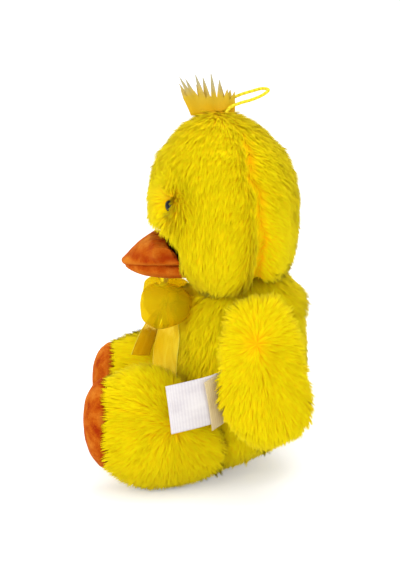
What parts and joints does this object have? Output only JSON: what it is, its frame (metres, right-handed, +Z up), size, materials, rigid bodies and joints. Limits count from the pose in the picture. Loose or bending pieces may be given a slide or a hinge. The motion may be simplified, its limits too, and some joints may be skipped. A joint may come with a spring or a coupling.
{
  "type": "plush duck",
  "caption": "Sitting stuffed duck in long yellow pile, with a velour beak and soles, a sheer ribbon bow, a stiff fringe and a hanging loop; its head turns and its limbs move at their seams.",
  "frame": {"origin": "middle of the torso's flat seat, on the surface that the duck sits on", "axes": "+Z up, the duck faces -Y, and its own left side is +X"},
  "size_m": [0.2048, 0.1913, 0.3413],
  "materials": {
    "pile": "matte",
    "velour": "matte",
    "fibre": "matte",
    "ribbon": "satin",
    "fringe": "matte",
    "cord": "satin",
    "white_label": "satin",
    "cream_label": "satin",
    "eye": "gloss",
    "washer": "matte"
  },
  "bodies": {
    "torso": {"torso_cover": "pile", "torso_stuffing": "fibre", "neck_ribbon": "ribbon", "bow_knot": "ribbon", "left_bow_loop": "ribbon", "right_bow_loop": "ribbon", "left_ribbon_tail": "ribbon", "right_ribbon_tail": "ribbon", "care_label": "white_label", "size_label": "cream_label"},
    "head": {"head_cover": "pile", "head_stuffing": "fibre", "upper_beak": "velour", "lower_beak": "velour", "left_eye": "eye", "right_eye": "eye", "left_eye_washer": "washer", "right_eye_washer": "washer", "head_tuft": "fringe"},
    "loop": {"hanging_loop": "cord"},
    "left_arm": {"left_arm_cover": "pile", "left_arm_stuffing": "fibre"},
    "right_arm": {"right_arm_cover": "pile", "right_arm_stuffing": "fibre"},
    "left_leg": {"left_leg_cover": "pile", "left_leg_stuffing": "fibre", "left_sole": "velour"},
    "right_leg": {"right_leg_cover": "pile", "right_leg_stuffing": "fibre", "right_sole": "velour"}
  },
  "joints": [
    {"name": "head_turn", "type": "hinge", "parent": "torso", "child": "head", "pos_m": [0, 0.024, 0.16], "axis": [0, 0, 1], "range_deg": [-25, 25], "stiffness_Nm_per_rad": 0.4},
    {"name": "loop_flip", "type": "hinge", "parent": "head", "child": "loop", "pos_m": [0, 0.014, 0.315], "axis": [1, 0, 0], "range_deg": [0, 60]},
    {"name": "left_arm_lift", "type": "hinge", "parent": "torso", "child": "left_arm", "pos_m": [0.05, 0.04, 0.16], "axis": [0, -1, 0], "range_deg": [0, 45]},
    {"name": "right_arm_lift", "type": "hinge", "parent": "torso", "child": "right_arm", "pos_m": [-0.05, 0.04, 0.16], "axis": [0, 1, 0], "range_deg": [0, 45]},
    {"name": "left_leg_swing", "type": "hinge", "parent": "torso", "child": "left_leg", "pos_m": [0.05, 0.024, 0.042], "axis": [-1, 0, 0], "range_deg": [-10, 15]},
    {"name": "right_leg_swing", "type": "hinge", "parent": "torso", "child": "right_leg", "pos_m": [-0.05, 0.024, 0.042], "axis": [-1, 0, 0], "range_deg": [-10, 15]}
  ]
}
